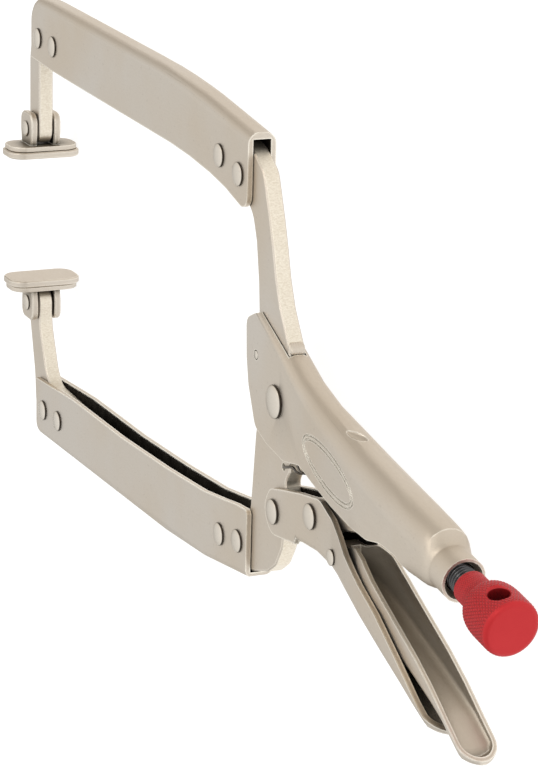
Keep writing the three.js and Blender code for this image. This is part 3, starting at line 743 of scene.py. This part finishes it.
def oval_groove(inset):
    """Cutter for a plain oval line pressed into the upper cheek."""
    count, sides = 72, 6
    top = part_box("fixed_handle_shell")[1].z + ABOVE
    centres = []
    for k in range(count):
        a = 2 * math.pi * k / count
        u, v = (OVAL_HALF[0] - inset) * math.cos(a), (OVAL_HALF[1] - inset) * math.sin(a)
        x, y = turned_offset(OVAL_CENTRE, u, v, OVAL_TURN)
        centres.append(touch("fixed_handle_shell", (x, y, top), (0, 0, -1))[0])
    rows = []
    for k, here in enumerate(centres):
        along = (centres[(k + 1) % count] - centres[k - 1]).normalized()
        side = along.cross(Vector((0, 0, 1))).normalized()
        up = side.cross(along)
        rows.append([here + (side * math.cos(t) + up * math.sin(t)) * OVAL_GROOVE
                     for t in (math.pi / 3 * j for j in range(sides))])
    return grid_mesh("oval", rows, ring=True)


def spine_dent():
    """Cutter for the scooped dent on the back of the handle."""
    pivot = main_pivot()
    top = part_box("fixed_handle_shell")[1].y + ABOVE
    ends = [touch("fixed_handle_shell", (pivot.x + dx, top, MID_Z + dz), (0, -1, 0))
            for dx, dz in (DENT_FROM, DENT_TO)]
    along = (ends[1][0] - ends[0][0]) / 2
    across = along.cross(ends[0][1] + ends[1][1]).normalized()
    out = across.cross(along).normalized()
    deep, half = DENT_HALF
    centre = (ends[0][0] + ends[1][0]) / 2 + out * deep * 0.25
    rows = []
    steps, count = 14, 24
    for k in range(steps + 1):
        t = -1 + 2 * k / steps
        wide = max(math.sqrt(max(1 - t * t, 0)), 0.02) * (1 + 0.35 * t)
        rows.append([centre + along * t
                     + (across * math.cos(a) * half + out * math.sin(a) * deep) * wide
                     for a in (2 * math.pi * j / count for j in range(count))])
    return grid_mesh("dent", rows)


def weld_bead():
    """Rippled weld between the back of the jaw bar and the handle."""
    low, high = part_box("fixed_jaw_bar")
    half = (high.z - low.z) / 2
    rows = []
    steps, count = 30, 20
    for k in range(steps + 1):
        t = -1 + 2 * k / steps
        round_end = math.sqrt(max(1 - abs(t) ** 6, 0.02))
        swell = (1 + BEAD_RIPPLE * math.sin(t * BEAD_RIPPLE_RATE)) * round_end
        row = []
        for j in range(count):
            a = 2 * math.pi * j / count
            x, y = turned_offset(BEAD_AT, BEAD_HALF[0] * swell * math.cos(a),
                                 BEAD_HALF[1] * swell * math.sin(a), BEAD_TURN)
            row.append(Vector((x, y, MID_Z + t * half)))
        rows.append(row)
    mesh = grid_mesh("weld_bead", rows)
    shade(mesh, 60)
    return mesh


class PliersHandle(bpy.types.Operator):
    """Finishes the fixed handle"""
    bl_idname = "pliers.handle"
    bl_label = "Fixed handle"

    def execute(self, context):
        mesh = refined("fixed_handle_shell", sizes().thin_edge, 2, 50, 0.4)
        for inset in (0, OVAL_STEP):
            mesh = cut(mesh, oval_groove(inset))
        mesh = cut(mesh, spine_dent())
        shade(mesh, 32)
        place("solid_fixed_handle", mesh, "frame", STEEL, ["fixed_handle_shell"])
        place("weld_bead", weld_bead(), "frame", STEEL)
        return {"FINISHED"}


class PliersLever(bpy.types.Operator):
    """Finishes the lever and the release lever"""
    bl_idname = "pliers.lever"
    bl_label = "Lever and release"

    def execute(self, context):
        for node, finish in (("lever_handle", LEVER), ("release_lever", RELEASE)):
            mesh = refined(node, sizes().thin_edge, 2, 50, 0.4)
            place("solid_" + node, mesh, body_of_node(node), STEEL, [node], finish)
        return {"FINISHED"}


# Dome of a rivet head: share of its radius, share of its height.
RIVET_DOME = [(0.985, 0.46), (0.95, 0.55), (0.89, 0.645), (0.80, 0.74), (0.66, 0.845),
              (0.46, 0.935), (0.22, 0.985), (0.0, 1.0)]
RIVET_HEIGHT = 0.29  # height of a head as a share of its radius


def domed_profile(radius, half):
    """Half profile of a rivet head, from its under side to the middle of its low dome."""
    height = radius * RIVET_HEIGHT
    under = half - height
    profile = [(radius * 0.97, under), (radius, under + height * 0.12),
               (radius, under + height * 0.36)]
    for across, up in RIVET_DOME:
        profile.append((radius * across, under + height * up))
    return profile


def place_rivet(node, body, count):
    """Rivet or pin with a domed head on both sides."""
    low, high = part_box(node)
    up = domed_profile((high.x - low.x) / 2, (high.z - low.z) / 2)
    down = [(r, -h) for r, h in reversed(up)]
    mesh = turned(node, down + up, (low + high) / 2, (0, 0, 1), count)
    shade(mesh, 50)
    place("solid_" + node, mesh, body, RIVET, [node])


class PliersRivets(bpy.types.Operator):
    """Builds the rivets and pins with domed heads on both sides"""
    bl_idname = "pliers.rivets"
    bl_label = "Rivets"

    def execute(self, context):
        for body, nodes in RIVET_GROUPS.items():
            for node in nodes:
                place_rivet(node, body, 40)
        return {"FINISHED"}


def screw_frame():
    """Axis of the screw and two directions square to it."""
    axis = SCREW_AXIS
    side = Vector((0, 0, 1))
    other = axis.cross(side)
    return axis, side, other


def screw_point(along, radius, k, count):
    """Point k of count round the screw axis."""
    axis, side, other = screw_frame()
    a = 2 * math.pi * k / count
    return KNOB_POINT + axis * along + (side * math.cos(a) + other * math.sin(a)) * radius


def along_axis(point):
    return (point - KNOB_POINT).dot(SCREW_AXIS)


def node_span(node):
    """Lowest and highest distance of a node along the screw axis from the knob point."""
    values = [along_axis(v.co) for v in frame["nodes"][node].data.vertices]
    return min(values), max(values)


# Adjusting screw. The root and the flank are shares of half a pitch.
SCREW_RADIUS = 0.00495
SCREW_SIDES = 40
STUD_RADIUS = 0.003
KNOB_GAP = 0.0003
THREAD_STEPS = 10
THREAD_ROOT = 0.14
THREAD_FLANK = 0.68
THREAD_LEAD_IN = 0.0015


class PliersScrew(bpy.types.Operator):
    """Builds the adjusting screw with a helical thread"""
    bl_idname = "pliers.screw"
    bl_label = "Adjusting screw"

    def execute(self, context):
        low, high = node_span("adjusting_screw")
        shoulder = node_span("adjusting_knob")[0] - KNOB_GAP
        pitch = sizes().thread_pitch
        count = SCREW_SIDES
        rows = []
        along = low
        while along < shoulder:
            row = []
            for k in range(count):
                phase = (along / pitch - k / count) % 1.0
                ridge = 1 - abs(2 * phase - 1)
                ridge = min(max((ridge - THREAD_ROOT) / THREAD_FLANK, 0), 1)
                fade = min((along - low) / THREAD_LEAD_IN, 1.0)
                radius = SCREW_RADIUS - sizes().thread_depth * (1 - ridge * fade)
                row.append(screw_point(along, radius, k, count))
            rows.append(row)
            along += pitch / THREAD_STEPS
        for along in (shoulder, high):
            rows.append([screw_point(along, STUD_RADIUS, k, count) for k in range(count)])
        mesh = grid_mesh("adjusting_screw", rows)
        shade(mesh, 60)
        place("threaded_screw", mesh, "screw", BLACK, ["adjusting_screw"])
        return {"FINISHED"}


# Half profile of the knob: radius, distance from its front face, share of knurl.
KNOB_NECK = [
    (0.0034, 0.0, 0), (0.0054, 0.0, 0), (0.0058, 0.0004, 0.5), (0.0059, 0.0010, 1),
    (0.0059, 0.0086, 1), (0.0060, 0.0092, 1), (0.0064, 0.0099, 0.6), (0.0071, 0.0106, 0.2),
    (0.0079, 0.0113, 0.4), (0.0086, 0.0121, 0.8), (0.0091, 0.0131, 1), (0.0095, 0.0143, 1),
    (0.0098, 0.0156, 1), (0.0100, 0.0172, 1), (0.0101, 0.0190, 1),
]
KNOB_SHOULDER = [
    (0.0101, 0.0072, 1), (0.0101, 0.0023, 1), (0.01006, 0.0018, 1), (0.0099, 0.0011, 0.5),
    (0.0097, 0.00078, 0), (0.0094, 0.0005, 0), (0.0090, 0.00026, 0), (0.0086, 0.0001, 0),
    (0.0081, 0.00002, 0), (0.0050, 0.0, 0), (0.00002, 0.0, 0),
]
# Blind socket for the stud: radius, distance from the front face.
KNOB_SOCKET = [(0.00002, 0.0150), (0.0033, 0.0150), (0.0033, 0.0004)]
KNOB_RADIUS = 0.0101
NECK_RADIUS = 0.0075
KNURL_POINTS = 6
KNURL_STEP = 0.00024
KNURL_SLANT = 0.62
KNURL_GROOVE = 0.24
NECK_KNURL = 0.6
CROSS_HOLE_RADIUS = 0.0037
CROSS_HOLE_FLARE = 0.0008
CROSS_HOLE_INNER = 0.0090
CROSS_HOLE_OUTER = 0.0099
CROSS_HOLE_REACH = 0.0113
CROSS_HOLE_TURN = math.radians(12)
CROSS_HOLE_BACK = 0.0079


def spaced(profile, step):
    """Profile with extra points so that no two are further apart than the step."""
    out = [profile[0]]
    for before, after in zip(profile, profile[1:]):
        length = math.hypot(after[0] - before[0], after[1] - before[1])
        count = max(1, math.ceil(length / step))
        for k in range(1, count + 1):
            out.append(tuple(a + (b - a) * k / count for a, b in zip(before, after)))
    return out


class PliersKnob(bpy.types.Operator):
    """Builds the knob with its diamond knurl, socket and cross hole"""
    bl_idname = "pliers.knob"
    bl_label = "Adjusting knob"

    def execute(self, context):
        low, high = node_span("adjusting_knob")
        length = high - low
        profile = KNOB_NECK + [(radius, length - back, knurl)
                               for radius, back, knurl in KNOB_SHOULDER]
        lines = sizes().knurl_count
        count = lines * KNURL_POINTS
        lead = 2 * math.pi * KNOB_RADIUS / lines
        rows = []
        for radius, along in KNOB_SOCKET:
            rows.append([screw_point(low + along, radius, k, count) for k in range(count)])
        for radius, along, knurl in spaced(profile, KNURL_STEP):
            share = knurl * (1 if radius > NECK_RADIUS else NECK_KNURL)
            row = []
            for k in range(count):
                turn = k / count * lines
                first = (turn + along / lead * KNURL_SLANT) % 1.0
                second = (turn - along / lead * KNURL_SLANT) % 1.0
                groove = max(1 - abs(first - 0.5) / KNURL_GROOVE,
                             1 - abs(second - 0.5) / KNURL_GROOVE, 0.0)
                depth = sizes().knurl_depth * groove * share
                row.append(screw_point(low + along, radius - depth, k, count))
            rows.append(row)
        mesh = cut(grid_mesh("adjusting_knob", rows), self.cross_hole(high))
        shade(mesh, 40)
        place("knurled_knob", mesh, "knob", RED, ["adjusting_knob"])
        return {"FINISHED"}

    @staticmethod
    def cross_hole(high):
        """Cutter for the hole through the knob, flared at both ends."""
        axis, side, other = screw_frame()
        upward = other if other.y > 0 else -other
        across = upward * math.cos(CROSS_HOLE_TURN) + side * math.sin(CROSS_HOLE_TURN)
        flare = CROSS_HOLE_RADIUS + CROSS_HOLE_FLARE
        half = [(CROSS_HOLE_RADIUS, CROSS_HOLE_INNER), (flare, CROSS_HOLE_OUTER),
                (flare, CROSS_HOLE_REACH)]
        profile = [(r, -s) for r, s in reversed(half)] + half
        return turned("cross_hole", profile,
                      KNOB_POINT + axis * (high - CROSS_HOLE_BACK), across, 40)


class PliersSpring(bpy.types.Operator):
    """Finishes the return spring"""
    bl_idname = "pliers.spring"
    bl_label = "Return spring"

    def execute(self, context):
        node = "return_spring"
        mesh = frame["nodes"][node].data.copy()
        bm = bmesh.new()
        bm.from_mesh(mesh)
        bmesh.ops.remove_doubles(bm, verts=bm.verts, dist=SAME_VERTEX)
        bm.to_mesh(mesh)
        bm.free()

        def setup(helper):
            rounder = helper.modifiers.new("round", "SUBSURF")
            rounder.levels = 1
            rounder.render_levels = 1
        mesh = applied(mesh, setup)
        shade(mesh, 80)
        piece = bpy.data.objects.new("coil_spring", mesh)
        bpy.context.scene.collection.objects.link(piece)
        mesh.materials.clear()
        mesh.materials.append(material(WIRE))
        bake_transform(piece)
        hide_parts(node)
        return {"FINISHED"}


class PliersPads(bpy.types.Operator):
    """Finishes the swivel pads and their pins"""
    bl_idname = "pliers.pads"
    bl_label = "Swivel pads"

    def execute(self, context):
        for pad in ("upper_pad", "lower_pad"):
            for part in ("plate", "bracket"):
                node = pad + "_" + part
                mesh = refined(node, sizes().edge)
                place("solid_" + node, mesh, pad, STEEL, [node])
            place_rivet(pad + "_pin", pad, 32)
        return {"FINISHED"}


# ---------- stage ----------

CAMERA_OFFSET = Vector((0.8685, 0.2900, 0.3962))
CAMERA_RIGHT = Vector((0.4008, 0.0252, -0.9158))
CAMERA_UP = Vector((-0.2711, 0.9582, -0.0922))
CAMERA_LENS = 128.32
CAMERA_SENSOR = 36.0
CAMERA_NEAR = 0.01
FLOOR_HALF = 6.0
FLOOR_Z = -0.0002


def floor_material():
    """Pale floor with a faint cloud, lit a little from within."""
    floor, tree, shader = blank_material("pale_floor")
    cloud = noise(tree, scaled_coords(tree, (1, 1, 1)), 3.0, 2.0, 0.5)
    tone = mix_colour(tree, ramp(tree, cloud, 0.3, 0.7), (0.26, 0.26, 0.26, 1),
                      (0.30, 0.30, 0.298, 1))
    tree.links.new(tone, shader.inputs["Base Color"])
    shader.inputs["Roughness"].default_value = 0.9
    shader.inputs["Emission Color"].default_value = (1.0, 1.0, 1.0, 1)
    shader.inputs["Emission Strength"].default_value = 0.85
    return floor


def area_light(name, place_at, target, size, power, colour=(1, 1, 1)):
    data = bpy.data.lights.new(name, "AREA")
    data.shape = "RECTANGLE"
    data.size = size[0]
    data.size_y = size[1]
    data.energy = power
    data.color = colour
    light = bpy.data.objects.new(name, data)
    light.location = place_at
    direction = Vector(target) - Vector(place_at)
    light.rotation_euler = direction.to_track_quat("-Z", "Y").to_euler()
    bpy.context.scene.collection.objects.link(light)
    return light


class PliersStage(bpy.types.Operator):
    """Sets the floor, the lights, the surroundings and the camera"""
    bl_idname = "pliers.stage"
    bl_label = "Studio"

    def execute(self, context):
        scene = context.scene
        mesh = bpy.data.meshes.new("floor")
        corners = ((-1, -1), (1, -1), (1, 1), (-1, 1))
        mesh.from_pydata([(FLOOR_HALF * x, FLOOR_HALF * y, FLOOR_Z) for x, y in corners],
                         [], [(0, 1, 2, 3)])
        mesh.materials.append(floor_material())
        floor = bpy.data.objects.new("floor", mesh)
        scene.collection.objects.link(floor)
        world = bpy.data.worlds.new("studio")
        scene.world = world
        world.use_nodes = True
        tree = world.node_tree
        background = tree.nodes["Background"]
        coords = tree.nodes.new("ShaderNodeTexCoord")
        split = tree.nodes.new("ShaderNodeSeparateXYZ")
        tree.links.new(coords.outputs["Generated"], split.inputs[0])
        low_sky = ramp(tree, split.outputs["Z"], 0.0, 0.38)
        high_sky = ramp(tree, split.outputs["Z"], 0.38, 0.85)
        tone = mix_colour(tree, low_sky, (0.36, 0.34, 0.31, 1), (0.84, 0.84, 0.83, 1))
        tone = mix_colour(tree, high_sky, tone, (1.05, 1.05, 1.05, 1))
        tree.links.new(tone, background.inputs["Color"])
        background.inputs["Strength"].default_value = 1.0
        area_light("key", (0.25, 0.9, 1.1), (0, 0, 0), (0.7, 0.7), 3.0, (1.0, 0.97, 0.93))
        area_light("fill", (1.5, 0.45, 0.5), (0, 0, 0), (0.5, 0.5), 2.2, (1.0, 0.97, 0.92))
        data = bpy.data.cameras.new("camera")
        data.sensor_width = CAMERA_SENSOR
        data.sensor_fit = "AUTO"
        data.lens = CAMERA_LENS
        data.clip_start = CAMERA_NEAR
        camera = bpy.data.objects.new("camera", data)
        right = CAMERA_RIGHT.normalized()
        back = right.cross(CAMERA_UP).normalized()
        up = back.cross(right).normalized()
        matrix = Matrix((right, up, back)).transposed().to_4x4()
        matrix.translation = main_pivot() + CAMERA_OFFSET
        camera.matrix_world = matrix
        scene.collection.objects.link(camera)
        scene.camera = camera
        scene.view_settings.view_transform = "Standard"
        return {"FINISHED"}


PIECES = [PliersMaterials, PliersHandle, PliersBars, PliersChannels, PliersRivets,
          PliersLever, PliersScrew, PliersKnob, PliersSpring, PliersPads, PliersStage]


class PliersPanel(bpy.types.Panel):
    """Lists the pieces, their sizes and their finishes"""
    bl_idname = "VIEW3D_PT_pliers"
    bl_label = "Locking pliers"
    bl_space_type = "VIEW_3D"
    bl_region_type = "UI"
    bl_category = "Locking pliers"

    def draw(self, context):
        layout = self.layout
        for group in (sizes(), finishes()):
            for name in group.__annotations__:
                layout.prop(group, name)
        for piece in PIECES:
            layout.operator(piece.bl_idname)


CLASSES = [PliersSizes, PliersFinishes, *PIECES, PliersPanel]


def register():
    for cls in CLASSES:
        bpy.utils.register_class(cls)
    bpy.types.Scene.pliers_sizes = bpy.props.PointerProperty(type=PliersSizes)
    bpy.types.Scene.pliers_finishes = bpy.props.PointerProperty(type=PliersFinishes)


def unregister():
    del bpy.types.Scene.pliers_finishes
    del bpy.types.Scene.pliers_sizes
    for cls in reversed(CLASSES):
        bpy.utils.unregister_class(cls)


def main():
    register()
    bpy.ops.pliers.materials()
    bpy.ops.pliers.handle()
    bpy.ops.pliers.bars()
    bpy.ops.pliers.channels()
    bpy.ops.pliers.rivets()
    bpy.ops.pliers.lever()
    bpy.ops.pliers.screw()
    bpy.ops.pliers.knob()
    bpy.ops.pliers.spring()
    bpy.ops.pliers.pads()
    bpy.ops.pliers.stage()


if __name__ == "__main__":
    main()
